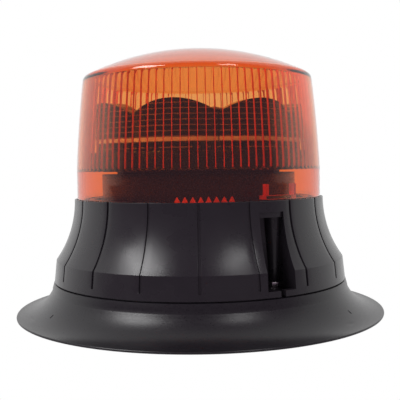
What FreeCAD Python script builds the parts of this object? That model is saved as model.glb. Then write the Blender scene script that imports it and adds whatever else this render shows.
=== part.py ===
"""Warning beacon: amber twist-lock lens over a ring of LED optics, on a flared housing.
A magnet and a rubber vacuum skirt hold it to a vehicle's roof.

Millimetres. Z is up, z = 0 is the surface it stands on, and the front faces -Y. A bearing is an angle
about Z in degrees, 0 at the front and growing towards +X. Each piece is one solid, or several alike.
"""

import FreeCAD, Part
import math
import os
from FreeCAD import Vector

# Clearances
slip = 0.3             # between pieces that are pushed together, or that turn past each other
screw_play = 0.05      # radial, between a screw's shank and the hole that it is cut into
pass_play = 0.3        # radial, between a screw's shank and a plain hole that it passes through

# Magnet and mount plate
plate_z = 13.0
plate_thickness = 2.0
plate_inset = 3.8      # from the housing's foot to the plate's edge
magnet_outer_radius = 42.0
magnet_inner_radius = 12.5
magnet_play = 0.5
magnet_recess = 0.8    # how far the magnet stays above the cup's foot
cup_floor = 3.0
cup_wall = 3.5
pad_thickness = 0.9
pad_lift = 0.4         # the pad clears the roof until the skirt is drawn down

# Rubber skirt
skirt_radius = 100.0
skirt_rim_width = 3.5
skirt_rim_thickness = 1.0
skirt_hollow = 4.1     # how far the skirt's outer face sags from a straight line
skirt_arch = 1.2       # the same for its inner face
collar_proud = 0.4     # how far the rubber stands out past the housing's foot
plate_grip = 5.0       # how far the rubber reaches in under the steel plate
lip_thickness = 2.3

# Base plate
base_thickness = 4.3
base_rim_thickness = 1.4
gasket_thickness = 1.0
gasket_inset = 0.3

# Housing
neck_radius = 68.2
neck_wall = 1.1
neck_rise = 44.1       # from the foot to the neck's rim
foot_flare = 11.6      # how much wider the foot is than the neck
crease_rise = 11.7
flare_radius = 56.0
housing_wall = 2.8
rebate_wall = 3.4
deck_thickness = 2.8
channel_depth = 5.5
collar_wall = 2.8
tube_inset = 13.7      # from the neck to the inner tube
tube_wall = 2.8
groove_count = 18
groove_width = 1.3
groove_depth = 0.7     # less than the neck's wall
groove_rise = 3.6

# Screw pocket in the side of the housing
pocket_bearing = 19.0
pocket_offset = 13.5   # the pocket's middle lies this far to the right of the axis
pocket_width = 15.8    # at its mouth
pocket_taper = 1.8     # how much narrower it is at the back, on each side
pocket_wall = 2.2
pocket_top_drop = 8.0  # below the neck's rim
recess_depth = 0.7
recess_height = 2.6
sill_height = 3.1
drain_bearing = 29.0
drain_width = 2.6
column_top_radius = 5.1
column_foot_radius = 2.7
column_foot_rise = 4.2

# Lens
lens_gap = 0.35        # between the lens and the neck round it
lens_wall = 3.35
lens_rise = 80.35      # from the neck's rim to the top of the dome
lens_band_height = 16.0
shoulder_taper = 4.05
shoulder_wall = 3.05
barrel_bulge = 0.4
dome_radius = 136.0
shoulder_fillet = 3.5
flute_count = 100
flute_depth = 1.15     # each flute is a pocket, sunk this deep in the wall
flute_rib = 0.4        # width of the rib that is left between two flutes
flute_top_drop = 2.7
lug_count = 3
lug_angle = 20.0
lug_lead = 4.0         # degrees by which the housing's lugs are wider than the lens's
lug_reach = 2.4
lug_height = 1.7
lug_bearing = -23.0
lock_lug_angle = 17.6
lock_lug_shift = 1.3   # from the lock screw's bearing to the lug's middle
lock_lug_reach = 5.6
lock_lug_height = 7.4
lock_lug_floor = 1.8
lock_lug_gap = 0.4
lock_rib_angle = 1.4
tooth_count = 8
tooth_pitch = 3.3
tooth_bearing = -9.0
tooth_depth = 0.5
tooth_height = 4.0
pawl_bearing = 17.5
pawl_angle = 1.4

# Lens lock screw
lock_bearing = 37.4
lock_inset = 3.4       # from the lens's bore to the screw's axis
lock_screw_radius = 1.5
lock_boss_radius = 2.5
lock_head_across = 5.5
lock_head_height = 2.5

# Pedestal and carrier disc
pedestal_inset = 10.4  # from the lens's bore
pedestal_wall = 2.5
pedestal_height = 18.7
spigot_inset = 8.0
spigot_height = 1.4
hub_width = 4.0
carrier_inset = 2.9    # from the lens's bore
carrier_height = 9.7
carrier_wall = 2.5

# Light engine
engine_bearing = -15.0
side_count = 6
optic_peak_inset = 7.4     # from the lens's bore
optic_valley_inset = 10.9
optic_wall = 5.0
optic_foot_height = 4.3
optic_peak_height = 25.3
optic_valley_drop = 3.6
optic_gap = 8.5        # between the core's flat side and the optic
foot_count = 24
foot_width = 3.0
tab_width = 9.0
tab_thickness = 1.5
tab_inset = 8.0        # from the core's flat side to the tab's screw
core_height = 19.2
core_wall = 9.0
board_margin = 4.5
board_height = 17.0
board_thickness = 1.6
leds_per_board = 3
led_spacing = 9.0
led_side = 3.5
led_height = 1.8

# Driver
driver_gap = 3.7       # between the board and the inner tube
driver_drop = 14.1     # below the deck
driver_post_inset = 6.0
harness_radius = 2.5
harness_play = 0.5
grommet_hole = 7.0
grommet_lip = 2.0
grommet_lip_thickness = 1.2
wire_way = 2.0         # how much wider the wires' way is above the deck
capacitor_radius = 5.0
capacitor_height = 12.0
capacitor_gap = 3.0
capacitor_x = -18.0
capacitor_y = -8.0
inductor_radius = 8.0
inductor_hole = 3.5
inductor_height = 7.0
inductor_x = 10.0
inductor_y = -20.0
chip_side = 10.0
chip_height = 1.6
chip_x = 5.0
terminal_width = 15.0
terminal_depth = 9.0
terminal_height = 10.0
terminal_gap = 7.0     # between the terminal block and the driver screws' ring
terminal_spacing = 5.0
wire_hole = 1.4

# Cable gland
gland_rise = 7.1
gland_bore = 2.5
gland_neck = 3.6
gland_play = 0.1
gland_flange = 4.6
gland_flange_thickness = 1.6
gland_nose = 2.8
gland_grip = 0.6

# Screws
small_screw = 1.5      # shank radius
mount_screw = 2.0
magnet_screw = 3.0
magnet_screw_bite = 3.6
boss_wall = 2.5
base_boss_wall = 3.1
boss_overlap = 0.5     # how far a boss or rib reaches into the wall that carries it
base_bearing = 90.0
pedestal_bearing = 30.0
driver_bearing = 60.0
pedestal_screw_inset = 9.0
carrier_screw_inset = 15.0
small_head_height = 1.8
mount_head_height = 2.4
screw_bite = 10.0      # depth of the hole that a screw goes into
hole_end = 1.0         # what is left of such a hole past the screw's tip
over = 1.0             # how far a cutter runs past the face that it cuts

# Heights worked out from the sizes above
pad_top_z = pad_lift + pad_thickness
cup_foot_z = pad_top_z + slip
plate_top = plate_z + plate_thickness
base_top = plate_top + base_thickness
boss_foot_z = base_top + slip
foot_z = base_top - base_rim_thickness
tube_foot_z = boss_foot_z + gasket_thickness + slip
neck_z = foot_z + neck_rise
crease_z = foot_z + crease_rise
groove_low_z = foot_z + groove_rise
channel_z = neck_z - channel_depth
deck_z = channel_z - deck_thickness
pocket_top_z = neck_z - pocket_top_drop
sill_z = foot_z + sill_height
column_foot_z = foot_z + column_foot_rise
gland_z = foot_z + gland_rise
lens_foot_z = channel_z + gasket_thickness + 2 * slip
lens_band_top_z = neck_z + lens_band_height
lens_top_z = neck_z + lens_rise
dome_centre_z = lens_top_z - dome_radius
housing_lug_z = neck_z - lug_height
lens_lug_z = housing_lug_z - slip - lug_height
lock_lug_z = neck_z + lock_lug_gap
pedestal_top_z = channel_z + pedestal_height
spigot_top_z = pedestal_top_z + spigot_height
engine_z = spigot_top_z + carrier_height
core_top_z = engine_z + core_height
driver_top_z = deck_z - driver_drop
driver_under_z = driver_top_z - board_thickness

# Radii worked out from the sizes above
foot_radius = neck_radius + foot_flare
rebate_radius = foot_radius - rebate_wall
plate_radius = foot_radius - plate_inset
collar_radius = foot_radius + collar_proud
cup_radius = magnet_outer_radius + magnet_play + cup_wall
tube_radius = neck_radius - tube_inset
tube_bore = tube_radius - tube_wall
mount_ring = (tube_radius + plate_radius) / 2
base_boss_radius = small_screw + base_boss_wall
base_ring = tube_radius + base_boss_radius - boss_overlap
pocket_back = tube_radius + pocket_wall + boss_overlap
neck_bore = neck_radius - neck_wall
lens_radius = neck_bore - lens_gap
lens_bore = lens_radius - lens_wall
lens_shoulder_radius = lens_radius - shoulder_taper
lens_root_radius = lens_bore + lens_wall / 2   # what stands inside the lens starts in the middle of its wall
bayonet_radius = lens_bore - lug_reach - 2 * slip
lock_radius = lens_bore - lock_inset
lock_head_corner = lock_head_across / 2 / math.cos(math.pi / 6)
pedestal_radius = lens_bore - pedestal_inset
pedestal_ring = pedestal_radius - pedestal_screw_inset
spigot_radius = pedestal_radius - spigot_inset
carrier_radius = lens_bore - carrier_inset
carrier_ring = spigot_radius - carrier_screw_inset
optic_peak_radius = lens_bore - optic_peak_inset
optic_valley_radius = lens_bore - optic_valley_inset
optic_bore = optic_valley_radius - optic_wall
core_flat = optic_bore - optic_gap
core_corner = core_flat / math.cos(math.pi / side_count)
board_width = 2 * (core_flat * math.tan(math.pi / side_count) - board_margin)
tab_ring = core_flat - tab_inset
junction_radius = tab_ring - tab_width / 2 - hole_end
core_bore = junction_radius - core_wall
driver_radius = tube_bore - driver_gap
driver_post_ring = driver_radius - driver_post_inset
terminal_y = driver_post_ring - terminal_gap - terminal_depth
wire_way_radius = grommet_hole + wire_way


# Small shapes

def profile(start, *steps):
    """Closed face in the plane y = 0. A step is a point (r, z), or an arc's middle and end points."""
    edges = []
    here = start
    for step in steps + (start,):
        if isinstance(step[0], tuple):
            ends = [Vector(r, 0, z) for r, z in (here,) + step]
            edges.append(Part.Arc(*ends).toShape())
            here = step[1]
        elif step != here:
            edges.append(Part.makeLine(Vector(here[0], 0, here[1]), Vector(step[0], 0, step[1])))
            here = step
    return Part.Face(Part.Wire(edges))


def sagged(low, high, sag):
    """Middle point of an arc that sags in and down from the straight line between two points (r, z)."""
    across = low[0] - high[0]
    down = high[1] - low[1]
    length = math.hypot(across, down)
    return ((low[0] + high[0]) / 2 - sag * down / length, (low[1] + high[1]) / 2 - sag * across / length)


def revolve(*path):
    return profile(*path).revolve(Vector(0, 0, 0), Vector(0, 0, 1), 360)


def disc(radius, low, high):
    return Part.makeCylinder(radius, high - low, Vector(0, 0, low))


def ring(inner, outer, low, high):
    return disc(outer, low, high).cut(disc(inner, low, high))


def turned(shape, bearing):
    """Copy of a shape drawn at the front, carried round to a bearing."""
    copy = shape.copy()
    copy.rotate(Vector(0, 0, 0), Vector(0, 0, 1), bearing)
    return copy


def post(distance, bearing, radius, low, high):
    return turned(Part.makeCylinder(radius, high - low, Vector(0, -distance, low)), bearing)


def block(width, near, far, low, high):
    """Box across the front, from near to far from the axis."""
    return Part.makeBox(width, far - near, high - low, Vector(-width / 2, -far, low))


def sector(inner, outer, low, high, bearing, angle):
    """Part of a ring, angle degrees wide, with its middle at a bearing."""
    face = profile((inner, low), (outer, low), (outer, high), (inner, high))
    return turned(face.revolve(Vector(0, 0, 0), Vector(0, 0, 1), angle), bearing - 90 - angle / 2)


def round_about(count, first=0.0):
    return [first + 360.0 * k / count for k in range(count)]


def fused(shapes):
    return shapes[0].multiFuse(shapes[1:]).removeSplitter()


def screw(distance, bearing, radius, seat, tip, head_radius, head_height):
    """Pan-head screw. The head lies on the far side of its seat from the tip."""
    shank = post(distance, bearing, radius, min(seat, tip), max(seat, tip))
    low = seat if tip < seat else seat - head_height
    return shank.fuse(post(distance, bearing, head_radius, low, low + head_height)).removeSplitter()


# Bearings that several pieces share
mount_bearings = round_about(3)
base_bearings = round_about(3, base_bearing)
pedestal_bearings = round_about(3, pedestal_bearing)
tab_bearings = round_about(3, engine_bearing + 180.0 / side_count)
carrier_bearings = round_about(3, tab_bearings[0] + 60)
driver_bearings = round_about(3, driver_bearing)
side_bearings = round_about(side_count, engine_bearing)


# Lens

def barrel_middle(inset):
    """Middle point of the barrel's gentle arc, for the outside or for a face set in from it."""
    low = lens_band_top_z
    high = shoulder_z()
    return ((lens_radius + lens_shoulder_radius) / 2 + barrel_bulge - inset, (low + high) / 2)


def shoulder_z():
    return dome_centre_z + math.sqrt(dome_radius ** 2 - lens_shoulder_radius ** 2)


def on_dome(radius, angle):
    return (radius * math.sin(math.radians(angle)), dome_centre_z + radius * math.cos(math.radians(angle)))


def lens_outside():
    """Band, barrel, rounded shoulder and dome."""
    slope = math.asin(lens_shoulder_radius / dome_radius)
    length = shoulder_fillet * math.tan((math.pi / 2 - slope) / 2)
    pull = 1 - shoulder_fillet / math.hypot(shoulder_fillet, length)
    start = (lens_shoulder_radius, shoulder_z() - length)
    middle = (lens_shoulder_radius - pull * shoulder_fillet, shoulder_z() - pull * length)
    dome_angle = math.degrees(slope - length / dome_radius)
    return revolve((0, lens_foot_z), (lens_radius, lens_foot_z), (lens_radius, lens_band_top_z),
                   (barrel_middle(0), start), (middle, on_dome(dome_radius, dome_angle)),
                   (on_dome(dome_radius, dome_angle / 2), (0, lens_top_z)))


def flute_wire(scale, z):
    """Outline of the fluted bore: a pocket between every two ribs."""
    rib = math.degrees(flute_rib / lens_bore)
    points = []
    for bearing in round_about(flute_count):
        side = bearing + 360.0 / flute_count
        for radius, edge in ((lens_bore, bearing), (lens_bore, bearing + rib),
                             (lens_bore + flute_depth, bearing + rib), (lens_bore + flute_depth, side)):
            angle = math.radians(edge - 90)
            points.append(Vector(scale * radius * math.cos(angle), scale * radius * math.sin(angle), z))
    return Part.makePolygon(points + points[:1])


def lens_inside():
    flute_top = shoulder_z() - flute_top_drop
    high_bore = lens_shoulder_radius - shoulder_wall
    ends = [flute_wire(1, lens_band_top_z), flute_wire(high_bore / lens_bore, flute_top)]
    flutes = Part.makeLoft(ends, True, True)
    band = disc(lens_bore, lens_foot_z, lens_band_top_z)
    inner_dome = dome_radius - lens_wall
    corner = math.degrees(math.asin(high_bore / inner_dome))
    cap = revolve((0, flute_top), (high_bore, flute_top), on_dome(inner_dome, corner),
                  (on_dome(inner_dome, corner / 2), (0, dome_centre_z + inner_dome)))
    return band.multiFuse([flutes, cap])


def lock_lug():
    """Tab that the lock screw bears on, between two upright ribs."""
    inner = lens_bore - lock_lug_reach
    top = lock_lug_z + lock_lug_height
    middle = lock_bearing + lock_lug_shift
    floor = lock_lug_z + lock_lug_floor
    pieces = [sector(inner, lens_root_radius, lock_lug_z, floor, middle, lock_lug_angle)]
    for side in (-1, 1):
        bearing = middle + side * (lock_lug_angle - lock_rib_angle) / 2
        pieces.append(sector(inner, lens_root_radius, lock_lug_z, top, bearing, lock_rib_angle))
    return pieces


def lens():
    shell = lens_outside().cut(lens_inside())
    pieces = [shell] + lock_lug()
    for bearing in round_about(lug_count, lug_bearing):
        pieces.append(sector(lens_bore - lug_reach, lens_root_radius, lens_lug_z, lens_lug_z + lug_height,
                             bearing, lug_angle))
    tooth_low = neck_z - lug_height - slip
    for k in range(tooth_count):
        bearing = tooth_bearing + k * tooth_pitch
        pieces.append(sector(lens_bore - tooth_depth, lens_root_radius, tooth_low, tooth_low + tooth_height,
                             bearing, tooth_pitch / 2))
    return fused(pieces)


def lens_gasket():
    return ring(lens_bore, lens_radius, channel_z + slip, channel_z + slip + gasket_thickness)


# Housing

def flare_at(z, wall=0.0):
    """Radius of the concave flare at a height, or of a face set in from it by a wall."""
    centre = neck_radius + flare_radius
    return centre - math.sqrt((flare_radius + wall) ** 2 - (neck_z - z) ** 2)


def housing_outside(grow=0.0, low=foot_z):
    middle_z = (crease_z + neck_z) / 2
    foot = foot_radius + grow
    return profile((0, low), (foot, low), (flare_at(crease_z) + grow, crease_z),
                   ((flare_at(middle_z) + grow, middle_z), (neck_radius + grow, neck_z)), (0, neck_z))


def cavity():
    """Space under the deck, open below, with the rebate for the base plate."""
    wall_radius = flare_at(crease_z, housing_wall)
    middle_z = (crease_z + deck_z) / 2
    return revolve((0, foot_z), (rebate_radius, foot_z), (rebate_radius, base_top), (wall_radius, base_top),
                   (wall_radius, crease_z),
                   ((flare_at(middle_z, housing_wall), middle_z), (flare_at(deck_z, housing_wall), deck_z)),
                   (0, deck_z))


def groove():
    """Slot cutter that follows the outside at the front, from the neck's rim down over the crease."""
    middle_z = (crease_z + neck_z) / 2
    slope = (foot_radius - flare_at(crease_z)) / (crease_z - foot_z)
    foot = foot_radius - slope * (groove_low_z - foot_z) - groove_depth
    inner_crease = flare_at(crease_z) - groove_depth
    far = foot_radius + over
    face = profile((foot, groove_low_z), (inner_crease, crease_z),
                   ((flare_at(middle_z) - groove_depth, middle_z), (neck_radius - groove_depth, neck_z)),
                   (far, neck_z), (far, groove_low_z))
    slot = face.extrude(Vector(0, groove_width, 0))
    slot.translate(Vector(0, -groove_width / 2, 0))
    return turned(slot, -90)


def pocket_prism(grow, low, high):
    """The pocket's room, wider at its mouth than at its back, or that room grown by a wall."""
    back = pocket_back - grow
    mouth = foot_radius + over
    half = pocket_width / 2 + grow
    corners = [(half - pocket_taper, back), (half, mouth), (-half, mouth), (pocket_taper - half, back)]
    points = [Vector(pocket_offset + x, -y, low) for x, y in corners]
    slot = Part.Face(Part.makePolygon(points + points[:1])).extrude(Vector(0, 0, high - low))
    return turned(slot, pocket_bearing)


def column():
    """Tapered column in the pocket that the lens lock screw runs up through."""
    height = pocket_top_z - column_foot_z
    cone = Part.makeCone(column_foot_radius, column_top_radius, height,
                         Vector(0, -lock_radius, column_foot_z))
    return turned(cone, lock_bearing)


def mount_boss():
    """Boss for a mount screw, with a rib to the inner tube and one to the outer wall."""
    radius = mount_screw + boss_wall
    top = boss_foot_z + screw_bite + boss_wall
    boss = Part.makeCylinder(radius, top - boss_foot_z, Vector(0, -mount_ring, boss_foot_z))
    rib = block(boss_wall, tube_radius - boss_overlap, flare_at(crease_z, housing_wall) + boss_overlap,
                boss_foot_z, top)
    return boss.fuse(rib)


def housing_bosses():
    shapes = [turned(mount_boss(), bearing) for bearing in mount_bearings]
    base_boss_top = boss_foot_z + screw_bite + boss_wall
    for bearing in base_bearings:
        shapes.append(post(base_ring, bearing, base_boss_radius, boss_foot_z, base_boss_top))
    for bearing in driver_bearings:
        shapes.append(post(driver_post_ring, bearing, small_screw + boss_wall, driver_top_z,
                           deck_z + boss_overlap))
    return shapes


def housing_holes():
    holes = []
    for bearing in mount_bearings:
        holes.append(post(mount_ring, bearing, mount_screw + screw_play, foot_z, boss_foot_z + screw_bite))
    for bearing in base_bearings:
        holes.append(post(base_ring, bearing, small_screw + screw_play, foot_z, boss_foot_z + screw_bite))
    for bearing in driver_bearings:
        holes.append(post(driver_post_ring, bearing, small_screw + screw_play,
                          driver_top_z - over, driver_top_z + screw_bite))
    for bearing in pedestal_bearings:
        holes.append(post(pedestal_ring, bearing, small_screw + pass_play, deck_z - over, channel_z + over))
    holes.append(post(lock_radius, lock_bearing, lock_screw_radius + screw_play, foot_z, neck_z + over))
    holes.append(post(lock_radius, lock_bearing, lock_head_corner + slip, foot_z, column_foot_z))
    holes.append(disc(grommet_hole, deck_z - over, channel_z + over))
    for radius, near, far in ((gland_neck + gland_play, mount_ring, foot_radius + over),
                              (gland_neck, tube_bore - over, tube_radius + over)):
        bore = Part.makeCylinder(radius, far - near, Vector(0, -far, gland_z), Vector(0, 1, 0))
        holes.append(turned(bore, 180))
    return holes


def housing():
    outside = housing_outside().revolve(Vector(0, 0, 0), Vector(0, 0, 1), 360)
    body = outside.cut(cavity())
    body = body.cut(ring(bayonet_radius, neck_bore, channel_z, neck_z + over))
    body = body.cut(disc(bayonet_radius - collar_wall, channel_z, neck_z + over))
    liner = pocket_prism(pocket_wall, boss_foot_z, pocket_top_z + over)
    added = [ring(tube_bore, tube_radius, tube_foot_z, deck_z + boss_overlap), liner.common(outside)]
    added += housing_bosses()
    body = body.multiFuse(added)
    sill = ring(rebate_radius, 2 * foot_radius, foot_z - over, sill_z)
    deep = pocket_prism(0, foot_z, pocket_top_z)
    shallow = pocket_prism(0, pocket_top_z, pocket_top_z + recess_height)
    drain = block(drain_width, mount_ring, foot_radius + over, foot_z - over, sill_z + over)
    cuts = [deep.cut(sill), shallow.cut(disc(neck_radius - recess_depth, foot_z, neck_z)),
            turned(drain, drain_bearing)]
    cuts += [turned(groove(), bearing) for bearing in round_about(groove_count)]
    body = body.cut(cuts)
    added = [column(), post(lock_radius, lock_bearing, lock_boss_radius, pocket_top_z, neck_z)]
    reach = bayonet_radius + lug_reach - slip
    for bearing in round_about(lug_count, lug_bearing):
        added.append(sector(bayonet_radius - over, reach, housing_lug_z, neck_z, bearing,
                            lug_angle + lug_lead))
    pawl_reach = lens_bore - tooth_depth - slip
    added.append(sector(bayonet_radius - over, pawl_reach, housing_lug_z, neck_z, pawl_bearing, pawl_angle))
    return body.multiFuse(added).cut(housing_holes()).removeSplitter()


def lens_lock_screw():
    """Long screw up through the column. Its tip bears on the underside of the lens's lock lug."""
    head_high = column_foot_z - slip
    head_low = head_high - lock_head_height
    points = [turned(Part.Vertex(0, -lock_head_corner, head_low), 60 * k).Point for k in range(7)]
    head = Part.Face(Part.makePolygon(points)).extrude(Vector(0, 0, lock_head_height))
    head.translate(Vector(0, -lock_radius, 0))
    shank = post(lock_radius, 0, lock_screw_radius, head_low, lock_lug_z - slip)
    return turned(head.fuse(shank).removeSplitter(), lock_bearing)


# Base, mount and magnet

def base_plate():
    rim = rebate_radius - slip
    core_radius = mount_ring + mount_screw + 2 * pass_play
    body = revolve((0, plate_top), (core_radius, plate_top), (core_radius, foot_z), (rim, foot_z),
                   (rim, base_top), (0, base_top))
    holes = [post(mount_ring, b, mount_screw + pass_play, plate_top - over, base_top + over)
             for b in mount_bearings]
    for bearing in base_bearings:
        holes.append(post(base_ring, bearing, small_screw + pass_play, plate_top - over, base_top + over))
        holes.append(post(base_ring, bearing, 2 * small_screw + slip, plate_top - over,
                          plate_top + small_head_height + slip))
    return body.cut(holes)


def base_gasket():
    return ring(tube_bore + gasket_inset, tube_radius - boss_overlap - gasket_inset, boss_foot_z,
                boss_foot_z + gasket_thickness)


def base_screws():
    seat = plate_top + small_head_height + slip
    tip = boss_foot_z + screw_bite - hole_end
    return [screw(base_ring, b, small_screw, seat, tip, 2 * small_screw, small_head_height)
            for b in base_bearings]


def countersink(radius, head_radius, top):
    return Part.makeCone(radius, head_radius, head_radius - radius, Vector(0, 0, top - head_radius + radius))


def mount_plate():
    holes = [post(mount_ring, b, mount_screw + pass_play, plate_z - over, plate_top + over)
             for b in mount_bearings]
    holes.append(disc(magnet_screw + pass_play, plate_z - over, plate_top + over))
    holes.append(countersink(magnet_screw, magnet_screw + plate_thickness - slip, plate_top))
    return disc(plate_radius, plate_z, plate_top).cut(holes)


def mount_screws():
    tip = boss_foot_z + screw_bite - hole_end
    return [screw(mount_ring, b, mount_screw, plate_z, tip, 2 * mount_screw, mount_head_height)
            for b in mount_bearings]


def vacuum_skirt():
    """Rubber skirt: a thin concave bell down to the rim, and a collar that grips the steel plate's edge."""
    grip = plate_radius + slip
    top = plate_top + slip + lip_thickness
    upper_bore = mount_ring + mount_screw + 2 * slip
    rim = (skirt_radius, skirt_rim_thickness)
    shoulder = (collar_radius, top)
    heel = (grip, plate_z - slip - lip_thickness)
    toe = (skirt_radius - skirt_rim_width, 0)
    return revolve(
        (skirt_radius, 0), rim, (sagged(rim, shoulder, skirt_hollow), shoulder),
        (upper_bore, top), (upper_bore, plate_top + slip), (grip, plate_top + slip), (grip, plate_z - slip),
        (plate_radius - plate_grip, plate_z - slip), (plate_radius - plate_grip, heel[1]), heel,
        (sagged(toe, heel, skirt_arch), toe))


def magnet_cup():
    floor_z = plate_z - cup_floor
    body = disc(cup_radius, cup_foot_z, plate_z)
    room = ring(magnet_inner_radius - magnet_play, magnet_outer_radius + magnet_play,
                cup_foot_z - over, floor_z)
    bolt_hole = disc(magnet_screw + screw_play, cup_foot_z + magnet_screw_bite, plate_z + over)
    return body.cut([room, bolt_hole])


def ring_magnet():
    return ring(magnet_inner_radius, magnet_outer_radius, cup_foot_z + magnet_recess, plate_z - cup_floor)


def magnet_pad():
    return disc(cup_radius, pad_lift, pad_top_z)


def magnet_bolt():
    top = plate_top - screw_play
    head = countersink(magnet_screw, magnet_screw + plate_thickness - 2 * slip, top)
    return disc(magnet_screw, cup_foot_z + magnet_screw_bite + hole_end, top).fuse(head).removeSplitter()


# Pedestal, carrier and light engine

def pedestal():
    """Black drum on the deck, with a spigot that leaves a line of light under the carrier disc."""
    body = revolve((0, channel_z), (pedestal_radius, channel_z), (pedestal_radius, pedestal_top_z),
                   (spigot_radius, pedestal_top_z), (spigot_radius, spigot_top_z), (0, spigot_top_z))
    body = body.cut(disc(pedestal_radius - pedestal_wall, channel_z - over, pedestal_top_z - pedestal_wall))
    posts = [post(pedestal_ring, b, small_screw + boss_wall, channel_z, pedestal_top_z)
             for b in pedestal_bearings]
    holes = [post(pedestal_ring, b, small_screw + screw_play, channel_z - over, channel_z + screw_bite)
             for b in pedestal_bearings]
    holes += [post(carrier_ring, b, small_screw + pass_play, channel_z, spigot_top_z + over)
              for b in carrier_bearings]
    holes.append(disc(wire_way_radius, channel_z, spigot_top_z + over))
    return body.multiFuse(posts).cut(holes).removeSplitter()


def pedestal_screws():
    tip = channel_z + screw_bite - hole_end
    return [screw(pedestal_ring, b, small_screw, deck_z, tip, 2 * small_screw, small_head_height)
            for b in pedestal_bearings]


def carrier_disc():
    """Wide flat dish, open below, that stands on the spigot and carries the core and the optics."""
    skin = engine_z - carrier_wall
    body = disc(carrier_radius, spigot_top_z, engine_z)
    body = body.cut(disc(carrier_radius - carrier_wall, spigot_top_z - over, skin))
    hub = ring(spigot_radius - hub_width, spigot_radius, spigot_top_z, skin + boss_overlap)
    bosses = [post(distance, b, small_screw + boss_wall, spigot_top_z, skin + boss_overlap)
              for distance, bearings in ((carrier_ring, carrier_bearings), (tab_ring, tab_bearings))
              for b in bearings]
    holes = [post(carrier_ring, b, small_screw + screw_play, spigot_top_z - over, skin)
             for b in carrier_bearings]
    holes += [post(tab_ring, b, small_screw + screw_play, spigot_top_z + hole_end, engine_z + over)
              for b in tab_bearings]
    holes.append(disc(wire_way_radius, spigot_top_z, engine_z + over))
    return body.multiFuse([hub] + bosses).cut(holes).removeSplitter()


def carrier_screws():
    seat = pedestal_top_z - pedestal_wall
    tip = engine_z - carrier_wall - hole_end
    return [screw(carrier_ring, b, small_screw, seat, tip, 2 * small_screw, small_head_height)
            for b in carrier_bearings]


def led_core():
    """Six-sided aluminium column, one flat side behind each optic."""
    points = []
    for bearing in round_about(side_count, engine_bearing + 180.0 / side_count):
        angle = math.radians(bearing - 90)
        points.append(Vector(core_corner * math.cos(angle), core_corner * math.sin(angle), engine_z))
    body = Part.Face(Part.makePolygon(points + points[:1])).extrude(Vector(0, 0, core_height))
    holes = [post(tab_ring, b, small_screw + pass_play, engine_z - over, core_top_z + over)
             for b in tab_bearings]
    holes.append(disc(core_bore, engine_z - over, core_top_z + over))
    return body.cut(holes)


def led_board(bearing):
    low = engine_z + (core_height - board_height) / 2
    board = block(board_width, core_flat, core_flat + board_thickness, low, low + board_height)
    return turned(board, bearing)


def leds():
    solids = []
    near = core_flat + board_thickness
    middle = engine_z + core_height / 2
    for bearing in side_bearings:
        for k in range(leds_per_board):
            x = (k - (leds_per_board - 1) / 2) * led_spacing
            led = block(led_side, near, near + led_height, middle - led_side / 2, middle + led_side / 2)
            led.translate(Vector(x, 0, 0))
            solids.append(turned(led, bearing))
    return solids


def optic_lobe():
    """One optic: a bowed wall with an arched top, one side of the ring wide."""
    half = math.pi / side_count
    low = engine_z + optic_foot_height
    peak = engine_z + optic_peak_height

    def point(radius, angle):
        return Vector(radius * math.sin(angle), -radius * math.cos(angle), low)

    outer = Part.Arc(point(optic_valley_radius, -half), point(optic_peak_radius, 0),
                     point(optic_valley_radius, half)).toShape()
    inner = Part.Arc(point(optic_bore, half), point(optic_bore, 0), point(optic_bore, -half)).toShape()
    right = Part.makeLine(point(optic_valley_radius, half), point(optic_bore, half))
    left = Part.makeLine(point(optic_bore, -half), point(optic_valley_radius, -half))
    wall = Part.Face(Part.Wire([outer, right, inner, left])).extrude(Vector(0, 0, peak - low))
    half_span = optic_valley_radius * math.sin(half)
    arch = (half_span ** 2 + optic_valley_drop ** 2) / (2 * optic_valley_drop)
    return wall.common(Part.makeCylinder(arch, optic_peak_radius + over, Vector(0, 0, peak - arch),
                                         Vector(0, -1, 0)))


def optic_ring():
    """Clear ring of six optics on short feet, with three tabs that the long screws hold down on the core."""
    pieces = [turned(optic_lobe(), bearing) for bearing in side_bearings]
    foot_top = engine_z + optic_foot_height + boss_overlap
    foot = block(foot_width, optic_bore + boss_overlap, optic_valley_radius - boss_overlap,
                 engine_z, foot_top)
    for bearing in round_about(foot_count, engine_bearing + 180.0 / foot_count):
        pieces.append(turned(foot, bearing))
    tab = block(tab_width, tab_ring, optic_bore + over, core_top_z, core_top_z + tab_thickness)
    tab = tab.fuse(Part.makeCylinder(tab_width / 2, tab_thickness, Vector(0, -tab_ring, core_top_z)))
    pieces += [turned(tab, bearing) for bearing in tab_bearings]
    holes = [post(tab_ring, b, small_screw + pass_play, core_top_z - over, core_top_z + tab_thickness + over)
             for b in tab_bearings]
    return fused(pieces).cut(holes)


def optic_screws():
    seat = core_top_z + tab_thickness
    tip = spigot_top_z + 2 * hole_end
    return [screw(tab_ring, b, small_screw, seat, tip, 2 * small_screw, small_head_height)
            for b in tab_bearings]


def junction_board():
    return disc(junction_radius, core_top_z, core_top_z + board_thickness)


# Driver and wiring

def driver_board():
    holes = [post(driver_post_ring, b, small_screw + pass_play, driver_under_z - over, driver_top_z + over)
             for b in driver_bearings]
    return disc(driver_radius, driver_under_z, driver_top_z).cut(holes)


def driver_screws():
    tip = driver_top_z + screw_bite - hole_end
    return [screw(driver_post_ring, b, small_screw, driver_under_z, tip, 2 * small_screw, small_head_height)
            for b in driver_bearings]


def under_driver(shape, x, y, height):
    """Stands a shape, drawn on z = 0 with its foot up, on the underside of the driver board."""
    copy = shape.copy()
    copy.translate(Vector(x, y, driver_under_z - height))
    return copy


def capacitors():
    can = Part.makeCylinder(capacitor_radius, capacitor_height)
    spacing = 2 * capacitor_radius + capacitor_gap
    return [under_driver(can, capacitor_x, capacitor_y + k * spacing, capacitor_height) for k in range(2)]


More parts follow.
